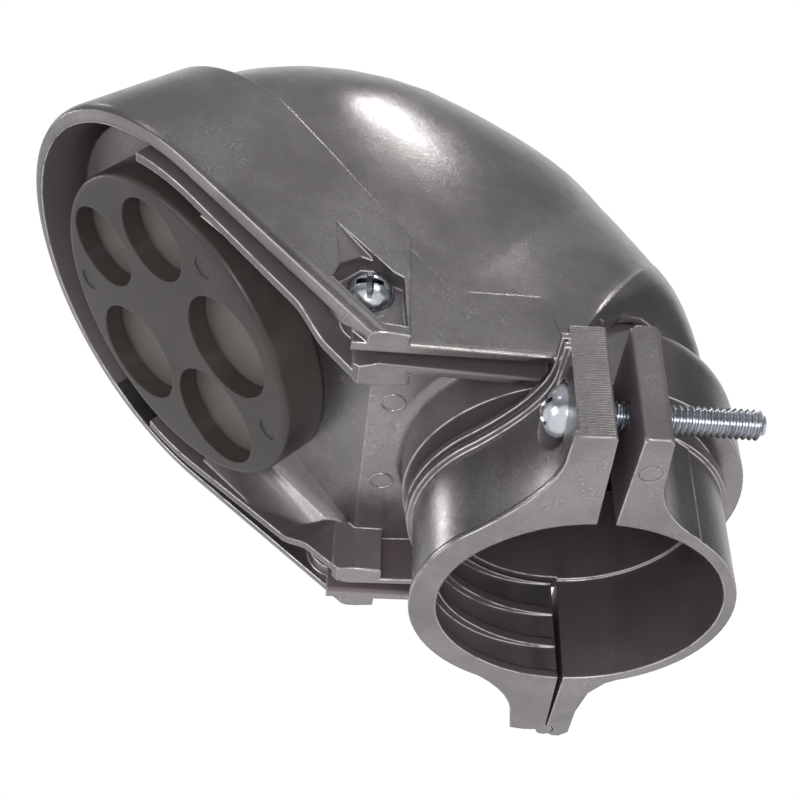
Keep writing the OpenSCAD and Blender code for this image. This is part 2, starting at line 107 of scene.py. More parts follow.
MM = 0.001
SHELTERED = "sheltered"  # face corner attribute: 0 in the open, 1 where near faces hem it in; the aluminium paints shade there
LIKE = 0.97  # cosine within which two directions count as the same
FLAT = 0.0005  # angle in radians under which two faces count as one
HAIR = 0.001 * MM  # distance under which two points count as one
FILED = 4.0 * MM  # how much of the lug's end carries file marks
HALF = math.sqrt(0.5)
MOUTH_OUT: Place = (0.0, -HALF, -HALF)  # the mouth faces forward and down at 45 degrees


class Slot(str, Enum):
    """Material slots of the part's record."""

    BODY = "body_casting"
    HOOD = "hood_casting"
    CLAMP = "clamp_casting"
    PLASTIC = "insert_plastic"
    ZINC = "zinc"


# ------------------------------------------------------------------ shader maths


class Value:
    """A number socket whose operators add Math nodes, so shader maths reads as a formula."""

    def __init__(self, graph: Graph, socket: bpy.types.NodeSocket) -> None:
        """Wraps a socket of a graph."""
        self.graph = graph
        self.socket = socket

    def _math(self, operation: str, *operands: Any) -> Value:
        """Adds one Math node.

        Args:
            operation: The Math node's operation.
            operands: Its inputs in order, values or numbers.

        Returns:
            The node's result.
        """
        return self.graph.value("ShaderNodeMath", {"operation": operation}, *operands)

    def __add__(self, other: Any) -> Value:
        """self + other."""
        return self._math("ADD", self, other)

    def __sub__(self, other: Any) -> Value:
        """self - other."""
        return self._math("SUBTRACT", self, other)

    def __rsub__(self, other: Any) -> Value:
        """other - self."""
        return self._math("SUBTRACT", other, self)

    def __mul__(self, other: Any) -> Value:
        """self * other."""
        return self._math("MULTIPLY", self, other)

    def __truediv__(self, other: Any) -> Value:
        """self / other."""
        return self._math("DIVIDE", self, other)

    __radd__ = __add__
    __rmul__ = __mul__

    def sine(self) -> Value:
        """Sine of self in radians."""
        return self._math("SINE", self)

    def span(self, low: float, high: float) -> Value:
        """Rises smoothly from 0 where self is low to 1 where it is high."""
        return self.graph.value(
            "ShaderNodeMapRange",
            {"interpolation_type": "SMOOTHSTEP"},
            self, low, high, 0.0, 1.0,
        )


class Graph:
    """Builds nodes in one node tree."""

    def __init__(self, tree: bpy.types.NodeTree) -> None:
        """Starts on an emptied tree."""
        self.tree = tree
        tree.nodes.clear()

    @classmethod
    def of_material(cls, name: str) -> tuple[bpy.types.Material, Graph]:
        """Makes a material.

        Args:
            name: The material's name.

        Returns:
            The material and the graph of its emptied tree.
        """
        made = bpy.data.materials.new(name)
        made.use_nodes = True
        return made, cls(made.node_tree)

    def node(self, kind: str, settings: dict[str, Any] | None = None, *inputs: Any,
             **named: Any) -> bpy.types.Node:
        """Makes a node, sets it up and then fills its sockets.

        Args:
            kind: The node's type name.
            settings: Attributes, set before any socket.
            inputs: Values or links for the first sockets in order.
            named: Values or links for sockets by name, with _ for a space.

        Returns:
            The new node.
        """
        made = self.tree.nodes.new(kind)
        for key, setting in (settings or {}).items():
            setattr(made, key, setting)
        for index, content in enumerate(inputs):
            self._fill(made.inputs[index], content)
        for key, content in named.items():
            self._fill(made.inputs[key.replace("_", " ")], content)
        return made

    def value(self, kind: str, settings: dict[str, Any] | None = None, *inputs: Any,
              **named: Any) -> Value:
        """Makes a node as node() does and wraps its first output."""
        return Value(self, self.node(kind, settings, *inputs, **named).outputs[0])

    def dot(self, first: Any, second: Any) -> Value:
        """Dot product of two vectors or vector sockets."""
        return Value(self, self.node("ShaderNodeVectorMath", {"operation": "DOT_PRODUCT"},
                                     first, second).outputs["Value"])

    def mix(self, mask: Value | float, low: Any, high: Any) -> bpy.types.NodeSocket:
        """Mixes two colours.

        Args:
            mask: 0 gives low and 1 gives high.
            low: A colour or a colour socket.
            high: A colour or a colour socket.

        Returns:
            The mixed colour's socket.
        """
        made = self.node("ShaderNodeMix", {"data_type": "RGBA"}, mask)
        for index, content in ((6, low), (7, high)):
            self._fill(made.inputs[index], content)
        return made.outputs[2]

    def noise(self, place: bpy.types.NodeSocket, scale: float, detail: float,
              roughness: float = 0.5) -> Value:
        """Noise about 0.5 on a position.

        Args:
            place: The position.
            scale: Its patches to the metre.
            detail: How many finer layers it has.
            roughness: The share of the finer layers.

        Returns:
            The noise.
        """
        return self.value("ShaderNodeTexNoise", None, Vector=place, Scale=scale,
                          Detail=detail, Roughness=roughness)

    def rounded(self, radius: float, samples: int) -> bpy.types.NodeSocket:
        """The surface's normal, rounded at its edges."""
        return self.node("ShaderNodeBevel", {"samples": samples}, Radius=radius).outputs[0]

    def openness(self, reach: float, samples: int, low: float, high: float) -> Value:
        """How open a surface is.

        Args:
            reach: How far off other faces still count, in metres.
            samples: How many ways it looks.
            low: The open share that counts as fully closed.
            high: The open share that counts as fully open.

        Returns:
            0 in corners and hollows to 1 on open faces.
        """
        look = self.node("ShaderNodeAmbientOcclusion", {"samples": samples}, Distance=reach)
        return Value(self, look.outputs["AO"]).span(low, high)

    def relief(self, height: Value, normal: bpy.types.NodeSocket) -> bpy.types.NodeSocket:
        """The normal of a surface that rises and falls by a height in metres."""
        return self.node("ShaderNodeBump", None, Strength=1.0, Distance=1.0, Height=height,
                         Normal=normal).outputs[0]

    def _fill(self, socket: bpy.types.NodeSocket, content: Any) -> None:
        """Links or sets one input socket."""
        if isinstance(content, Value):
            self.tree.links.new(content.socket, socket)
        elif isinstance(content, bpy.types.NodeSocket):
            self.tree.links.new(content, socket)
        elif socket.type == "RGBA" and len(content) == 3:
            socket.default_value = (*content, 1.0)
        else:
            socket.default_value = content


# ------------------------------------------------------------------ finishes


@dataclass(frozen=True)
class CastAluminium:
    """Tumbled die-cast aluminium.

    Open faces are burnished to a soft dark sheen and edges are worn bright. Corners and
    hollows are rougher as unpolished cast skin, and their colour is darkened as painted shade.
    """

    name: str
    dark: Colour = (0.285, 0.271, 0.267)
    light: Colour = (0.410, 0.393, 0.387)
    worn: Colour = (0.80, 0.79, 0.76)
    # recess: painted shade of corners and hollows, and also the colour of the fine pits
    recess: Colour = (0.243, 0.200, 0.225)
    roughness: float = 0.27
    cloud_scale: float = 34.0
    mottle_scale: float = 210.0
    grain_scale: float = 1500.0
    mottled: float = 0.45
    pitted: float = 0.22
    scuffed: float = 0.30
    peel_depth: float = 0.050 * MM
    grain_depth: float = 0.016 * MM
    edge_round: float = 0.8 * MM
    reach: float = 9.0 * MM
    file_lines_from_x: float = 1.0
    file_fade: float = 0.5 * MM
    file_pitch: float = 0.62 * MM
    file_depth: float = 0.05 * MM
    file_waver: float = 1.1
    waver_scale: float = 420.0

    def build(self) -> bpy.types.Material:
        """Makes the material.

        Returns:
            The finished material.
        """
        material, g = Graph.of_material(self.name)
        place = g.node("ShaderNodeTexCoord").outputs["Object"]
        cloud = g.noise(place, self.cloud_scale, 5.0, 0.62)
        mottle = g.noise(place, self.mottle_scale, 4.0, 0.6)
        grain = g.noise(place, self.grain_scale, 2.0)
        rounded = g.rounded(self.edge_round, 8)
        level = g.node("ShaderNodeNewGeometry").outputs["True Normal"]
        edge = (1 - g.dot(rounded, level)).span(0.01, 0.20) * mottle.span(0.30, 0.55)
        marks = g.node("ShaderNodeAttribute", {"attribute_name": SHELTERED})
        # Painted shade: where near faces hem the surface in, it takes the dark recess colour
        # and less metal; its added roughness is the real unpolished cast skin
        opened = (g.openness(self.reach, 5, 0.05, 0.55)
                  * (1 - Value(g, marks.outputs["Fac"])))
        tone = self._tone(g, cloud, mottle, grain)
        colour = g.mix(edge, g.mix(opened, self.recess, tone), self.worn)
        lines = self._file_lines(g, place, level)
        rough = (self.roughness + (cloud - 0.5) * 0.22 + (mottle - 0.5) * 0.16
                 + (1 - opened) * 0.26 - edge * 0.08 + lines * 0.12)
        height = (mottle * self.peel_depth + grain * self.grain_depth
                  + lines * self.file_depth)
        shader = g.node("ShaderNodeBsdfPrincipled", None, Base_Color=colour,
                        Metallic=0.4 + opened * 0.6 + edge * 0.5, Roughness=rough,
                        Normal=g.relief(height, rounded))
        g.node("ShaderNodeOutputMaterial", None, shader.outputs[0])
        return material

    def _tone(self, g: Graph, cloud: Value, mottle: Value,
              grain: Value) -> bpy.types.NodeSocket:
        """Colour of the open faces.

        Args:
            g: The material's graph.
            cloud: The broad noise.
            mottle: The middling noise.
            grain: The fine noise.

        Returns:
            The colour, with dark mottling, fine pits and bright scuffs.
        """
        tone = g.mix(cloud.span(0.32, 0.68), self.dark, self.light)
        tone = g.mix(mottle.span(0.38, 0.72) * self.mottled, tone, self.dark)
        tone = g.mix((1 - grain.span(0.34, 0.60)) * self.pitted, tone, self.recess)
        scuff = cloud.span(0.50, 0.60) * mottle.span(0.50, 0.62) * grain.span(0.50, 0.62)
        return g.mix(scuff * self.scuffed, tone, self.worn)

    def _file_lines(self, g: Graph, place: bpy.types.NodeSocket,
                    normal: bpy.types.NodeSocket) -> Value:
        """Level file marks on the faces at the +X end of the lugs.

        Args:
            g: The material's graph.
            place: Object coordinates.
            normal: The face's own normal.

        Returns:
            0 to 1 across each mark, and 0 away from those faces.
        """
        split = g.node("ShaderNodeSeparateXYZ", None, place)
        x, z = (Value(g, split.outputs[axis]) for axis in ("X", "Z"))
        waver = g.noise(place, self.waver_scale, 2.0) * self.file_waver
        end_faces = g.dot(normal, (1.0, 0.0, 0.0)).span(0.90, 0.98)
        ridges = (((z / self.file_pitch + waver) * math.tau).sine() + 1) * 0.5
        return ridges * end_faces * x.span(self.file_lines_from_x,
                                           self.file_lines_from_x + self.file_fade)


@dataclass(frozen=True)
class MouldedPlastic:
    """Black moulded plastic with a dusty satin sheen."""

    name: str
    colour: Colour = (0.054, 0.047, 0.044)
    dusty: Colour = (0.090, 0.079, 0.073)
    # painted shade: near-black colour of the insert's corners and hollows
    hollow: Colour = (0.016, 0.013, 0.015)
    # painted light: paler colour of the pocket floors, to make up for the shade the pocket
    # walls cast
    floor: Colour = (0.205, 0.190, 0.180)
    floor_from: float = 12.5 * MM
    floor_fade: float = 0.5 * MM
    roughness: float = 0.33
    edge_round: float = 0.6 * MM
    reach: float = 3.5 * MM
    speck_depth: float = 0.018 * MM
    grain_depth: float = 0.010 * MM

    def build(self) -> bpy.types.Material:
        """Makes the material.

        Returns:
            The finished material.
        """
        material, g = Graph.of_material(self.name)
        place = g.node("ShaderNodeTexCoord").outputs["Object"]
        cloud = g.noise(place, 38.0, 5.0, 0.6)
        speck = g.noise(place, 520.0, 3.0)
        grain = g.noise(place, 2200.0, 1.0)
        # Painted shade: corners and hollows of the insert are darkened towards near-black
        opened = g.openness(self.reach, 5, 0.15, 0.65)
        tone = g.mix(cloud.span(0.3, 0.7) * 0.8 + speck.span(0.6, 0.8) * 0.2,
                     self.colour, self.dusty)
        level = g.node("ShaderNodeNewGeometry").outputs["True Normal"]
        # Painted light: pocket floors that face out of the mouth are painted paler than the
        # face, making up for the shade in the pockets
        sunk = 1 - g.dot(place, MOUTH_OUT).span(self.floor_from,
                                                self.floor_from + self.floor_fade)
        tone = g.mix(g.dot(level, MOUTH_OUT).span(0.94, 0.99) * sunk, tone, self.floor)
        height = grain * self.grain_depth + speck * self.speck_depth
        shader = g.node("ShaderNodeBsdfPrincipled", None,
                        Base_Color=g.mix(opened, self.hollow, tone),
                        Roughness=(self.roughness + (cloud - 0.5) * 0.20
                                   + (1 - opened) * 0.08),
                        Normal=g.relief(height, g.rounded(self.edge_round, 6)))
        g.node("ShaderNodeOutputMaterial", None, shader.outputs[0])
        return material


@dataclass(frozen=True)
class ZincPlate:
    """Bright, faintly blue zinc plate, rougher in its hollows, where its colour is darkened as
    painted shade.
    """

    name: str
    bright: Colour = (0.70, 0.74, 0.80)
    dull: Colour = (0.50, 0.53, 0.57)
    # painted shade: dark colour of the zinc's hollows
    hollow: Colour = (0.08, 0.085, 0.09)
    roughness: float = 0.17
    edge_round: float = 0.12 * MM
    reach: float = 2.2 * MM
    cloud_depth: float = 0.012 * MM
    crystal_depth: float = 0.004 * MM

    def build(self) -> bpy.types.Material:
        """Makes the material.

        Returns:
            The finished material.
        """
        material, g = Graph.of_material(self.name)
        place = g.node("ShaderNodeTexCoord").outputs["Object"]
        cloud = g.noise(place, 300.0, 4.0)
        crystal = g.value("ShaderNodeTexVoronoi", {"feature": "F1"}, Vector=place,
                          Scale=1900.0)
        # Painted shade: thread roots and the recess are darkened in colour; their added
        # roughness is duller grain
        opened = g.openness(self.reach, 4, 0.25, 0.75)
        tone = g.mix(cloud.span(0.45, 0.72), self.bright, self.dull)
        height = cloud * self.cloud_depth + crystal * self.crystal_depth
        shader = g.node("ShaderNodeBsdfPrincipled", None,
                        Base_Color=g.mix(opened, self.hollow, tone), Metallic=1.0,
                        Roughness=self.roughness + cloud * 0.08 + (1 - opened) * 0.2,
                        Normal=g.relief(height, g.rounded(self.edge_round, 4)))
        g.node("ShaderNodeOutputMaterial", None, shader.outputs[0])
        return material


# ------------------------------------------------------------------ mesh work


def lathe(section: Sequence[tuple[float, float]], steps: int,
          closed: bool) -> bmesh.types.BMesh:
    """Turns a section about +Z.

    Args:
        section: Radius and height of each point; a radius of 0 lies on the axis.
        steps: Steps round the axis.
        closed: Whether the last point joins the first, as in a ring.

    Returns:
        The turned form, closed and facing outwards.
    """
    work = bmesh.new()
    points = [work.verts.new((radius, 0.0, height)) for radius, height in section]
    count = len(points)
    edges = [work.edges.new((points[i], points[(i + 1) % count]))
             for i in range(count if closed else count - 1)]
    bmesh.ops.spin(work, geom=points + edges, angle=math.tau, steps=steps,
                   axis=(0.0, 0.0, 1.0), cent=(0.0, 0.0, 0.0), use_merge=True)
    bmesh.ops.remove_doubles(work, verts=work.verts, dist=HAIR)
    bmesh.ops.recalc_face_normals(work, faces=work.faces)
    return work


def bar(length: float, width: float, depth: float, draft: float) -> bmesh.types.BMesh:
    """A bar along X that hangs down from z = 0 and narrows by draft on every side.

    Args:
        length: Its length at the top.
        width: Its width at the top.
        depth: How far it reaches down.
        draft: How much each side comes in at the bottom.

    Returns:
        The bar.
    """
    work = bmesh.new()
    bmesh.ops.create_cube(work, size=1.0)
    for vert in work.verts:
        inset = draft if vert.co.z < 0 else 0.0
        vert.co = Vector((math.copysign(length / 2 - inset, vert.co.x),
                          math.copysign(width / 2 - inset, vert.co.y),
                          -depth if vert.co.z < 0 else 0.0))
    return work


def as_object(work: bmesh.types.BMesh, name: str,
              place: Matrix | None = None) -> bpy.types.Object:
    """Makes an object at the origin of a form and frees the form.

    Args:
        work: The form.
        name: The object's name.
        place: Where the form goes, in its mesh.

    Returns:
        The object, linked to the scene.
    """
    mesh = bpy.data.meshes.new(name)
    work.to_mesh(mesh)
    work.free()
    if place is not None:
        mesh.transform(place)
    made = bpy.data.objects.new(name, mesh)
    bpy.context.scene.collection.objects.link(made)
    return made


def settled(piece: bpy.types.Object) -> bpy.types.Object:
    """Replaces a piece's mesh and modifiers by the plain mesh they result in."""
    evaluated = piece.evaluated_get(bpy.context.evaluated_depsgraph_get())
    mesh = bpy.data.meshes.new_from_object(evaluated)
    piece.modifiers.clear()
    piece.data = mesh
    return piece


def carve(piece: bpy.types.Object, cutters: Sequence[bpy.types.Object]) -> bpy.types.Object:
    """Cuts forms out of a piece and removes the forms.

    Args:
        piece: The piece.
        cutters: Closed forms that reach into it.

    Returns:
        The same piece.
    """
    for index, cutter in enumerate(cutters):
        cut = piece.modifiers.new(f"cut_{index}", "BOOLEAN")
        cut.operation = "DIFFERENCE"
        cut.solver = "EXACT"
        cut.object = cutter
    settled(piece)
    for cutter in cutters:
        bpy.data.objects.remove(cutter)
    return piece


def shade(mesh: bpy.types.Mesh, smooth_angle: float) -> None:
    """Shades a mesh smooth with creases where faces meet at more than an angle in degrees."""
    work = bmesh.new()
    work.from_mesh(mesh)
    limit = math.radians(smooth_angle)
    for face in work.faces:
        face.smooth = True
    for edge in work.edges:
        if len(edge.link_faces) == 2:
            edge.smooth = edge.calc_face_angle(0.0) < limit
    work.to_mesh(mesh)
    work.free()


def middle(edge: bmesh.types.BMEdge) -> Vector:
    """Middle of an edge."""
    return (edge.verts[0].co + edge.verts[1].co) / 2


def joins(edge: bmesh.types.BMEdge, pair: tuple[Vector, Vector]) -> bool:
    """Whether an edge's two faces look the two ways of a pair, either way round."""
    one, other = (face.normal for face in edge.link_faces)
    return any(one.dot(a) > LIKE and other.dot(b) > LIKE for a, b in (pair, pair[::-1]))


def soften(piece: bpy.types.Object, pairs: Sequence[tuple[Vector, Vector]], width: float,
           shortest: float, within: Callable[[Vector], bool]) -> int:
    """Rounds the long edges where two flat faces of a casting meet.

    Args:
        piece: The piece; its triangles there are merged into whole flat faces first.
        pairs: The outward directions of the two faces at each kind of edge.
        width: How far the rounding reaches into each face.
        shortest: Edges shorter than this stay sharp.
        within: Tells from an edge's middle whether it lies where edges are rounded.

    Returns:
        How many edges were rounded.
    """
    work = bmesh.new()
    work.from_mesh(piece.data)
    work.normal_update()
    flats = [direction for pair in pairs for direction in pair]
    inner = [edge for edge in work.edges
             if len(edge.link_faces) == 2 and edge.calc_face_angle(1.0) < FLAT
             and within(middle(edge))
             and any(edge.link_faces[0].normal.dot(flat) > LIKE for flat in flats)]
    bmesh.ops.dissolve_edges(work, edges=inner, use_verts=False)
    work.normal_update()
    chosen = [edge for edge in work.edges
              if len(edge.link_faces) == 2 and edge.calc_length() >= shortest
              and within(middle(edge)) and any(joins(edge, pair) for pair in pairs)]
    bmesh.ops.bevel(work, geom=chosen, offset=width, offset_type="OFFSET", segments=4,
                    profile=0.5, affect="EDGES", clamp_overlap=False)
    bmesh.ops.triangulate(work, faces=[face for face in work.faces if len(face.verts) > 4])
    bmesh.ops.dissolve_degenerate(work, edges=work.edges, dist=HAIR)
    work.to_mesh(piece.data)
    work.free()
    return len(chosen)


def facing(outward: Vector, across: Vector, at: Vector) -> Matrix:
    """Places local +Z along outward and local +X along across, at a point."""
    z = outward.normalized()
    y = z.cross(across).normalized()
    x = y.cross(z)
    return Matrix.Translation(at) @ Matrix((x, y, z)).transposed().to_4x4()


# ------------------------------------------------------------------ pieces


@dataclass
class Dresser:
    """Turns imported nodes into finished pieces."""

    frame: dict[str, Any]
    smooth_angle: float = 32.0
    weld: float = 0.002 * MM
    shelter_start: float = 0.08 * MM
    shelter_reach: float = 75.0 * MM
    shelter_tilts: tuple[float, ...] = (32.0, 58.0)
    shelter_turns: int = 6
    shelter_from: float = 0.38
    shelter_span: float = 0.34
    open_from_x: float = 45.0 * MM
    whole: BVHTree | None = None

    def body_of(self, node: str) -> str:
        """Name of the body that a node rides on."""
        for body, members in self.frame["record"]["behaviour"]["bodies"].items():
            if node in members:
                return body
        raise KeyError(node)

    def welded(self, node: str) -> bpy.types.Object:
        """Copies a node's mesh and welds its loose triangles.

        Args:
            node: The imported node's name.

        Returns:
            A new object at the origin.
        """
        mesh = self.frame["nodes"][node].data.copy()
        mesh.materials.clear()
        work = bmesh.new()
        work.from_mesh(mesh)
        bpy.data.meshes.remove(mesh)
        bmesh.ops.remove_doubles(work, verts=work.verts, dist=self.weld)
        bmesh.ops.dissolve_degenerate(work, edges=work.edges, dist=self.weld)
        return as_object(work, f"{node}_finished")

    def mark_sheltered(self, piece: bpy.types.Object) -> None:
        """Marks how far faces look at other faces near by, where the aluminium's finish paints
        shade.

        Args:
            piece: The piece; its mesh gets one share per face corner, smooth over each
                patch of the surface.
        """
        work = bmesh.new()
        work.from_mesh(piece.data)
        work.normal_update()
        shares = self._shares(work, sides_open=piece.name.startswith("hood"))
        layer = work.loops.layers.float.new(SHELTERED)
        work.faces.ensure_lookup_table()
        like = math.cos(math.radians(self.smooth_angle))
        for face in work.faces:
            for loop in face.loops:
                near = [shares[other.index] for other in loop.vert.link_faces
                        if other.normal.dot(face.normal) > like]
                loop[layer] = sum(near) / len(near) if near else shares[face.index]
        work.to_mesh(piece.data)
        work.free()

    def _shares(self, work: bmesh.types.BMesh, sides_open: bool) -> list[float]:
        """How far each face is sheltered.

        Args:
            work: The piece's mesh.
            sides_open: Whether faces right at the part's sides count as open.

        Returns:
            0 to 1 for each face in order.
        """
        if self.whole is None:
            self.whole = self._whole_part()
        spread = [Vector((0.0, 0.0, 1.0))]
        for tilt in self.shelter_tilts:
            lean, rise = math.sin(math.radians(tilt)), math.cos(math.radians(tilt))
            spread += [Vector((lean * math.cos(turn), lean * math.sin(turn), rise))
                       for turn in (math.tau * k / self.shelter_turns
                                    for k in range(self.shelter_turns))]
        shares: list[float] = []
        for face in work.faces:
            turn = face.normal.to_track_quat("Z", "Y")
            start = face.calc_center_median() + face.normal * self.shelter_start
            if sides_open and abs(start.x) > self.open_from_x:
                shares.append(0.0)
                continue
            hits = sum(self.whole.ray_cast(start, turn @ ray, self.shelter_reach)[0] is not None
                       for ray in spread)
            share = (hits / len(spread) - self.shelter_from) / self.shelter_span
            shares.append(min(max(share, 0.0), 1.0))
        return shares

    def _whole_part(self) -> BVHTree:
        """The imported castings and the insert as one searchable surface."""
        corners: list[Vector] = []
        faces: list[list[int]] = []
        for name, node in self.frame["nodes"].items():
            if "screw" in name:
                continue
            start = len(corners)
            corners += [vert.co.copy() for vert in node.data.vertices]
            faces += [[start + index for index in face.vertices]
                      for face in node.data.polygons]
        return BVHTree.FromPolygons(corners, faces)

    def finish(self, piece: bpy.types.Object, node: str, material: bpy.types.Material,
               slot: Slot) -> None:
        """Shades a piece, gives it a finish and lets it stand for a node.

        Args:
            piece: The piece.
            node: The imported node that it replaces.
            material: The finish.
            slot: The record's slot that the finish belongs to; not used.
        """
        shade(piece.data, self.smooth_angle)
        self.mark_sheltered(piece)
        self.place(piece, self.body_of(node), material, slot)
        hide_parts(node)

    @staticmethod
    def place(piece: bpy.types.Object, body: str, material: bpy.types.Material,
              slot: Slot) -> None:
        """Gives a piece its finish and makes it ride on a body."""
        piece.data.materials.clear()
        piece.data.materials.append(material)
        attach(piece, body)
        log.info("%s rides on %s, %d faces", piece.name, body, len(piece.data.polygons))


@dataclass(frozen=True)
class CastRing:
    """A bare raised ring, such as a mould leaves round an empty mark."""

    at: Vector
    outward: Vector
    radius: float = 2.75 * MM
    width: float = 0.50 * MM
    height: float = 0.28 * MM
    root: float = 0.35 * MM
    steps: int = 40

    def build(self, name: str) -> bpy.types.Object:
        """Makes the ring, rooted in the surface that it stands on.

        Args:
            name: The object's name.

        Returns:
            The ring.
        """
        half = self.width / 2
        inner, outer = self.radius - half, self.radius + half
        section = [(inner, -self.root), (inner, self.height * 0.5),
                   (inner + half * 0.5, self.height), (outer - half * 0.5, self.height),
                   (outer, self.height * 0.5), (outer, -self.root)]
        across = Vector((1.0, 0.0, 0.0))
        return as_object(lathe(section, self.steps, closed=True), name,
                         facing(self.outward, across, self.at))


@dataclass
class Castings:
    """The body, the hood and the loose half of the collar, with their small cast marks."""

    dresser: Dresser
    ledge_marks: tuple[tuple[float, float], ...] = ((14.4, -42.6), (-14.8, -42.9))
    ledge_z: float = 42.3
    collar_mark_angle: float = -77.0
    collar_mark_z: float = 15.7
    collar_mark_r: float = 34.3
    foot_mark: tuple[float, float] = (48.0, 4.9)
    foot_groove_r: float = 2.3
    foot_groove_width: float = 0.4
    foot_groove: float = 0.22
    overcut: float = 1.0
    edge_round: float = 1.1 * MM
    thin_edge_round: float = 0.66 * MM
    shortest_edge: float = 5.0 * MM
    hood_skirt_from_x: float = 40.0 * MM
    body_skirt_from_x: float = 34.0 * MM
    body_skirt_z: tuple[float, float] = (27.0 * MM, 34.0 * MM)
    body_lugs_from_x: float = 56.0 * MM
    clamp_lugs_from_x: float = 54.0 * MM

    def build(self, burnished: bpy.types.Material, filed: bpy.types.Material) -> None:
        """Finishes the castings.

        Args:
            burnished: Finish of the body and the hood.
            filed: Finish of the loose half, with file marks on its lug's end.
        """
        soft = self._hood(burnished) + self._body(burnished) + self._clamp(filed)
        log.info("%d long edges of the castings are rounded", soft)
        for index, (x, y) in enumerate(self.ledge_marks):
            ring = CastRing(Vector((x, y, self.ledge_z)) * MM, Vector((0.0, 0.0, -1.0)))
            self._mark(ring.build(f"ledge_ring_{index}"), "body", burnished, Slot.BODY)
        angle = math.radians(self.collar_mark_angle)
        out = Vector((math.cos(angle), math.sin(angle), 0.0))
        at = (out * self.collar_mark_r + Vector((0.0, 0.0, self.collar_mark_z))) * MM
        self._mark(CastRing(at, out).build("collar_ring"), "clamp_half", filed, Slot.CLAMP)

    @staticmethod
    def _skirt_pairs() -> list[tuple[Vector, Vector]]:
        """The ways that the faces look at a lower edge of either side."""
        right, down = Vector((1.0, 0.0, 0.0)), Vector((0.0, 0.0, -1.0))
        return [(right, down), (-right, down)]

    @staticmethod
    def _lug_pairs() -> list[tuple[Vector, Vector]]:
        """The ways that the faces look at an upright edge of a lug's end."""
        right, back = Vector((1.0, 0.0, 0.0)), Vector((0.0, 1.0, 0.0))
        return [(right, back), (right, -back)]

    def _hood(self, finish: bpy.types.Material) -> int:
        """Finishes the hood and returns how many edges were rounded."""
        hood = self.dresser.welded("hood")
        soft = soften(hood, self._skirt_pairs(), self.edge_round, self.shortest_edge,
                      lambda at: abs(at.x) > self.hood_skirt_from_x)
        self.dresser.finish(hood, "hood", finish, Slot.HOOD)
        return soft

    def _body(self, finish: bpy.types.Material) -> int:
        """Finishes the body and returns how many edges were rounded."""
        low, high = self.body_skirt_z
        body = self.dresser.welded("body")
        soft = soften(body, self._skirt_pairs(), self.thin_edge_round, self.shortest_edge,
                      lambda at: abs(at.x) > self.body_skirt_from_x and low < at.z < high)
        soft += soften(body, self._lug_pairs(), self.edge_round, self.shortest_edge,
                       lambda at: at.x > self.body_lugs_from_x)
        self.dresser.finish(carve(body, [self._foot_ring()]), "body", finish, Slot.BODY)
        return soft

    def _clamp(self, finish: bpy.types.Material) -> int:
        """Finishes the loose half and returns how many edges were rounded."""
        clamp = self.dresser.welded("clamp_half")
        soft = soften(clamp, self._lug_pairs(), self.thin_edge_round, self.shortest_edge,
                      lambda at: at.x > self.clamp_lugs_from_x)
        self.dresser.finish(clamp, "clamp_half", finish, Slot.CLAMP)
        return soft

    def _foot_ring(self) -> bpy.types.Object:
        """Cutter for the ring that the mould's pin leaves in the rear lug's foot."""
        depth, deep, shoulder = self.foot_groove, self.overcut, self.foot_groove * 0.6
        inner = self.foot_groove_r - self.foot_groove_width / 2
        outer = self.foot_groove_r + self.foot_groove_width / 2
        section = [(r * MM, z * MM) for r, z in (
            (inner, -deep), (inner, shoulder), (self.foot_groove_r, depth),
            (outer, shoulder), (outer, -deep))]
        place = Matrix.Translation(Vector((*self.foot_mark, 0.0)) * MM)
        return as_object(lathe(section, 40, closed=True), "foot_cutter", place)

    def _mark(self, ring: bpy.types.Object, node: str, material: bpy.types.Material,
              slot: Slot) -> None:
        """Finishes a ring and lets it ride with the node that carries it."""
        shade(ring.data, 50.0)
        self.dresser.place(ring, self.dresser.body_of(node), material, slot)


@dataclass
class KnockoutInsert:
    """The round plastic insert, with the faint marks of the pins that pushed it out.

    A pin mark is given by how far right it lies and how far up the mouth's slope.
    """

    dresser: Dresser
    pin_marks: tuple[tuple[float, float], ...] = ((-8.3, -152.8), (30.9, -107.4), (-5.1, -83.9))
    pin_radius: float = 2.9
    pin_depth: float = 0.28
    overcut: float = 1.0
    face_n: float = -16.1

    def build(self, plastic: bpy.types.Material) -> None:
        """Finishes the insert.

        Args:
            plastic: Its finish.
        """
        radius, depth, above = (size * MM for size in (self.pin_radius, self.pin_depth,
                                                       self.overcut))
        section = [(0.0, -depth), (radius, -depth), (radius, above), (0.0, above)]
        right = Vector((1.0, 0.0, 0.0))
        cutters = []
        for index, (x, up) in enumerate(self.pin_marks):
            at = Vector((x, (up + self.face_n) * HALF, (self.face_n - up) * HALF)) * MM
            cutters.append(as_object(lathe(section, 36, closed=False), f"pin_{index}",
                                     facing(Vector(MOUTH_OUT), right, at)))
        insert = carve(self.dresser.welded("insert"), cutters)
        self.dresser.finish(insert, "insert", plastic, Slot.PLASTIC)


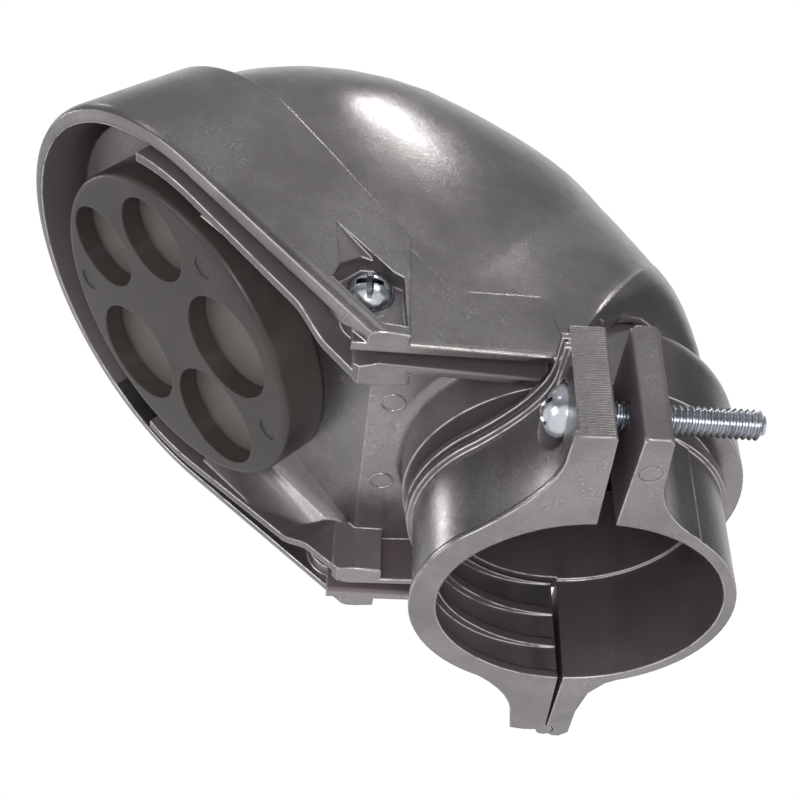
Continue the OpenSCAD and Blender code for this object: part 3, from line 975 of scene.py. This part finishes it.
class ThreadTree:
    """Geometry Nodes for a threaded shank along +Z: a core with a coiled ridge on it."""

    RIDGE = 0.49  # the ridge's radius, of the pitch
    RUN_OUT = 0.35  # the plain end of the shank, of the pitch
    SUNK = 1.12  # how far the core lies under the crest, of the ridge's radius
    COIL_STEPS = 28
    CORE_SIDES = 36
    CORE_RINGS = 24

    def __init__(self) -> None:
        """Builds the tree with named inputs for its sizes."""
        self.tree = bpy.data.node_groups.new("threaded_shank", "GeometryNodeTree")
        interface = self.tree.interface
        interface.new_socket("Geometry", in_out="INPUT", socket_type="NodeSocketGeometry")
        for name in ("Length", "Crest radius", "Pitch"):
            interface.new_socket(name, in_out="INPUT", socket_type="NodeSocketFloat")
        interface.new_socket("Finish", in_out="INPUT", socket_type="NodeSocketMaterial")
        interface.new_socket("Geometry", in_out="OUTPUT", socket_type="NodeSocketGeometry")
        g = Graph(self.tree)
        given = g.node("NodeGroupInput")
        length, crest, pitch = (Value(g, given.outputs[name])
                                for name in ("Length", "Crest radius", "Pitch"))
        ridge, rise = pitch * self.RIDGE, length - pitch * self.RUN_OUT
        coil = g.node("GeometryNodeCurveSpiral", None, Resolution=self.COIL_STEPS,
                      Rotations=rise / pitch, Start_Radius=crest - ridge,
                      End_Radius=crest - ridge, Height=rise)
        upright = g.node("GeometryNodeSetCurveNormal", {"mode": "Z_UP"}, coil.outputs[0])
        section = g.node("GeometryNodeCurvePrimitiveCircle", {"mode": "RADIUS"},
                         Resolution=4, Radius=ridge)
        thread = g.node("GeometryNodeCurveToMesh", None, upright.outputs[0],
                        section.outputs[0], Fill_Caps=True)
        core = g.node("GeometryNodeMeshCylinder", {"fill_type": "NGON"},
                      Vertices=self.CORE_SIDES, Side_Segments=self.CORE_RINGS,
                      Radius=crest - ridge * self.SUNK, Depth=length)
        lift = g.node("ShaderNodeCombineXYZ", None, Z=length * 0.5)
        raised = g.node("GeometryNodeTransform", None, core.outputs[0],
                        Translation=lift.outputs[0])
        join = g.node("GeometryNodeJoinGeometry")
        for part in (raised.outputs[0], thread.outputs[0]):
            self.tree.links.new(part, join.inputs[0])
        real = g.node("GeometryNodeRealizeInstances", None, join.outputs[0])
        dressed = g.node("GeometryNodeSetMaterial", None, real.outputs[0],
                         Material=Value(g, given.outputs["Finish"]))
        g.node("NodeGroupOutput", None, dressed.outputs[0])

    def grow(self, name: str, finish: bpy.types.Material,
             **sizes: float) -> bpy.types.Mesh:
        """Makes one shank.

        Args:
            name: The mesh's name.
            finish: Its material.
            sizes: The tree's inputs by name, with _ for a space, in metres.

        Returns:
            A plain mesh with its root at the origin.
        """
        carrier = bpy.data.objects.new(name, bpy.data.meshes.new(name))
        bpy.context.scene.collection.objects.link(carrier)
        modifier = carrier.modifiers.new("thread", "NODES")
        modifier.node_group = self.tree
        keys = {item.name: item.identifier for item in self.tree.interface.items_tree
                if item.in_out == "INPUT"}
        for size, amount in sizes.items():
            modifier[keys[size.replace("_", " ")]] = amount
        modifier[keys["Finish"]] = finish
        mesh = settled(carrier).data
        bpy.data.objects.remove(carrier)
        return mesh


@dataclass
class RoundHeadScrew:
    """A round-headed machine screw with a combination recess and a real thread.

    Diameters, widths and drafts are in millimetres. Shares are of the head's radius or
    diameter, and the dome and the recess go by the head's height.
    """

    dresser: Dresser
    threads: ThreadTree
    node: str
    outward: Vector
    across: Vector
    shank_d: float
    head_d: float
    pitch: float
    head_share: float = 0.42
    seat_share: float = 0.94
    rim_share: float = 0.06
    dome_steps: int = 14
    overcut: float = 0.4
    slot_share: float = 1.2
    slot_width: float = 1.25
    slot_deep: float = 0.36
    slot_draft: float = 0.05
    arm_share: float = 0.56
    arm_width: float = 1.65
    arm_deep: float = 0.62
    arm_draft: float = 0.32
    tip: float = 1.5
    tip_draw: float = 0.20
    tip_curve: float = 1.6

    def build(self, zinc: bpy.types.Material) -> None:
        """Makes the screw in the place of its node.

        Args:
            zinc: Its finish.
        """
        low, high = (Vector(corner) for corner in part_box(self.node))
        head_h = self.head_d * self.head_share * MM
        reach = abs((high - low).dot(self.outward))
        seat = (low + high) / 2 + self.outward * (reach / 2 - head_h)
        head = self._head(head_h)
        shank = self.threads.grow(f"{self.node}_shank", zinc, Length=reach - head_h,
                                  Crest_radius=self.shank_d / 2 * MM,
                                  Pitch=self.pitch * MM)
        self._draw_tip(shank, reach - head_h)
        shank.transform(Matrix.Rotation(math.pi, 4, "X"))
        work = bmesh.new()
        work.from_mesh(head.data)
        work.from_mesh(shank)
        bpy.data.objects.remove(head)
        piece = as_object(work, f"{self.node}_finished",
                          facing(self.outward, self.across, seat))
        self.dresser.finish(piece, self.node, zinc, Slot.ZINC)

    def _head(self, head_h: float) -> bpy.types.Object:
        """The head, seated on z = 0, with its slot and cross cut in."""
        radius = self.head_d / 2 * MM
        dome_r = (radius ** 2 + head_h ** 2) / (2 * head_h)
        start = math.atan2(dome_r - head_h, radius)
        section = [(0.0, 0.0), (radius * self.seat_share, 0.0),
                   (radius, self.rim_share * head_h)]
        for step in range(1, self.dome_steps):
            angle = -start + (math.pi / 2 + start) * step / self.dome_steps
            section.append((dome_r * math.cos(angle),
                            head_h - dome_r + dome_r * math.sin(angle)))
        section.append((0.0, head_h))
        head = as_object(lathe(section, 64, closed=False), f"{self.node}_head")
        over = self.overcut * MM
        top = Matrix.Translation((0.0, 0.0, head_h + over))
        slot = as_object(bar(self.head_d * self.slot_share * MM, self.slot_width * MM,
                             head_h * self.slot_deep + over, self.slot_draft * MM),
                         "slot_cutter", top)
        arms = [as_object(bar(self.head_d * self.arm_share * MM, self.arm_width * MM,
                              head_h * self.arm_deep + over, self.arm_draft * MM),
                          "arm_cutter", top @ Matrix.Rotation(turn, 4, "Z"))
                for turn in (0.0, math.pi / 2)]
        return carve(head, [slot, *arms])

    def _draw_tip(self, shank: bpy.types.Mesh, length: float) -> None:
        """Draws the last turn of the thread in to a blunt point."""
        start = length - self.tip * MM
        for vert in shank.vertices:
            if vert.co.z > start:
                share = min((vert.co.z - start) / (self.tip * MM), 1.0)
                keep = 1 - self.tip_draw * share ** self.tip_curve
                vert.co.x *= keep
                vert.co.y *= keep
                vert.co.z = min(vert.co.z, length)


# ------------------------------------------------------------------ studio


@dataclass(frozen=True)
class SoftPatch:
    """A soft bright patch of the room, for gloss alone.

    Angles are in degrees from the patch's middle to where it is full and where it ends.
    """

    toward: Place
    full: float
    end: float
    strength: float

    def glow(self, g: Graph, direction: bpy.types.NodeSocket) -> Value:
        """Its share of the light that comes from a direction."""
        near = g.dot(direction, Vector(self.toward).normalized()[:])
        return near.span(math.cos(math.radians(self.end)),
                         math.cos(math.radians(self.full))) * self.strength


@dataclass(frozen=True)
class SoftLamp:
    """A square area lamp; sizes are in metres and its power in watts."""

    name: str
    toward: Place
    distance: float
    size: float
    power: float
    faces: Place | None = None

    def hang(self, centre: Vector) -> None:
        """Hangs the lamp.

        Args:
            centre: Middle of the part, which it faces unless it has a point of its own.
        """
        target = centre if self.faces is None else Vector(self.faces) * MM
        direction = Vector(self.toward)
        data = bpy.data.lights.new(self.name, "AREA")
        data.size = self.size
        data.energy = self.power
        lamp = bpy.data.objects.new(self.name, data)
        lamp.location = target + direction.normalized() * self.distance
        lamp.rotation_euler = direction.to_track_quat("Z", "Y").to_euler()
        bpy.context.scene.collection.objects.link(lamp)


@dataclass
class Studio:
    """Pale floor, white surround, soft lamps and the camera."""

    camera_place: Place = (275.11, -63.89, -178.11)
    camera_right: Place = (0.0923, 0.9957, 0.0058)
    camera_up: Place = (0.6427, -0.0640, 0.7634)
    lens: float = 68.02
    sensor_width: float = 36.0
    floor_z: float = -0.62
    floor_half: float = 4.0
    floor_seen: float = 0.38
    floor_in_gloss: float = 0.35
    room_base: float = 0.17
    room_light: float = 0.48
    patches: tuple[SoftPatch, ...] = (
        SoftPatch((0.643, -0.064, 0.763), 10.0, 62.0, 0.26),     # ceiling
        SoftPatch((-0.761, 0.067, 0.646), 14.0, 54.0, 0.80),     # pale wall behind
        SoftPatch((-0.643, 0.064, -0.763), 15.0, 60.0, 0.30),    # table below
        SoftPatch((-0.728, -0.677, 0.108), 8.0, 30.0, 0.30),     # wall past the nose
        SoftPatch((-0.190, -0.960, 0.190), 8.0, 32.0, 0.55),     # beside it
        SoftPatch((-0.314, -0.765, 0.562), 2.5, 6.0, 6.0),       # window there
        SoftPatch((-0.05, -0.45, 0.89), 1.5, 4.0, 4.0),          # ceiling lamps
        SoftPatch((0.93, 0.05, 0.36), 1.5, 4.0, 4.0),
        SoftPatch((0.60, -0.62, 0.50), 1.5, 4.0, 4.0),
    )
    lamps: tuple[SoftLamp, ...] = (
        SoftLamp("key_lamp", (0.339, 0.255, 0.906), 0.25, 0.038, 0.05, (37.0, -46.0, 110.0)),
        SoftLamp("side_lamp", (0.85, 0.45, 0.10), 0.9, 0.30, 0.8),
        SoftLamp("nose_lamp", (0.35, -0.90, -0.20), 0.9, 0.35, 0.8),
        SoftLamp("door_lamp", (0.76, -0.067, -0.646), 0.55, 0.16, 0.6),
    )

    def build(self) -> None:
        """Makes the floor, the surround, the lamps and the camera."""
        scene = bpy.context.scene
        scene.view_settings.view_transform = "Standard"
        self._camera(scene)
        self._floor()
        self._surround(scene)
        low, high = (Vector(corner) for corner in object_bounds())
        for lamp in self.lamps:
            lamp.hang((low + high) / 2)

    def _camera(self, scene: bpy.types.Scene) -> None:
        """Makes the camera."""
        data = bpy.data.cameras.new("camera")
        data.lens = self.lens
        data.sensor_width = self.sensor_width
        camera = bpy.data.objects.new("camera", data)
        right = Vector(self.camera_right).normalized()
        back = right.cross(Vector(self.camera_up)).normalized()
        up = back.cross(right)
        turn = Matrix((right, up, back)).transposed().to_4x4()
        camera.matrix_world = Matrix.Translation(Vector(self.camera_place) * MM) @ turn
        scene.collection.objects.link(camera)
        scene.camera = camera

    def _floor(self) -> None:
        """Makes the pale floor well below the part."""
        work = bmesh.new()
        bmesh.ops.create_grid(work, x_segments=1, y_segments=1, size=self.floor_half)
        floor = as_object(work, "floor", Matrix.Translation((0.0, 0.0, self.floor_z)))
        material, g = Graph.of_material("pale_floor")
        shader = g.node("ShaderNodeBsdfPrincipled", None, Base_Color=(0.86, 0.86, 0.86),
                        Roughness=0.9)
        path = g.node("ShaderNodeLightPath")
        shown = (Value(g, path.outputs["Is Camera Ray"]) * self.floor_seen
                 + Value(g, path.outputs["Is Glossy Ray"]) * self.floor_in_gloss)
        glow = g.node("ShaderNodeEmission", None, Color=(1.0, 1.0, 1.0), Strength=shown)
        both = g.node("ShaderNodeAddShader", None, shader.outputs[0], glow.outputs[0])
        g.node("ShaderNodeOutputMaterial", None, both.outputs[0])
        floor.data.materials.append(material)
        floor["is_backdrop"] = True

    def _surround(self, scene: bpy.types.Scene) -> None:
        """White to the eye, a plain even light, and a soft room for gloss."""
        world = bpy.data.worlds.new("surround")
        world.use_nodes = True
        scene.world = world
        g = Graph(world.node_tree)
        path = g.node("ShaderNodeLightPath")
        seen = Value(g, path.outputs["Is Camera Ray"])
        glossy = Value(g, path.outputs["Is Glossy Ray"])
        direction = g.node("ShaderNodeTexCoord").outputs["Generated"]
        room: Value | float = self.room_base
        for patch in self.patches:
            room = patch.glow(g, direction) + room
        light = glossy * room + (1 - glossy) * self.room_light
        strength = seen + (1 - seen) * light
        shader = g.node("ShaderNodeBackground", None, Color=(1.0, 1.0, 1.0),
                        Strength=strength)
        g.node("ShaderNodeOutputWorld", None, shader.outputs[0])


def main() -> None:
    """Loads the frame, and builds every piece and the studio."""
    logging.basicConfig(level=logging.INFO, format="%(name)s: %(message)s")
    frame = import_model()
    Studio().build()
    dresser = Dresser(frame)
    burnished = CastAluminium("tumbled_aluminium").build()
    lug_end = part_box("clamp_half")[1][0]
    filed = CastAluminium("filed_aluminium", file_lines_from_x=lug_end - FILED).build()
    Castings(dresser).build(burnished, filed)
    KnockoutInsert(dresser).build(MouldedPlastic("black_plastic").build())
    zinc = ZincPlate("zinc_plate").build()
    threads = ThreadTree()
    up, right = Vector((0.0, 0.0, 1.0)), Vector((1.0, 0.0, 0.0))
    front = Vector((0.0, -1.0, 0.0))
    RoundHeadScrew(dresser, threads, "clamp_screw", front, right,
                   shank_d=6.35, head_d=12.0, pitch=1.27).build(zinc)
    for node, outward in (("cover_screw_right", right), ("cover_screw_left", -right)):
        RoundHeadScrew(dresser, threads, node, outward, up,
                       shank_d=5.5, head_d=10.8, pitch=1.06).build(zinc)


if __name__ == "__main__":
    main()
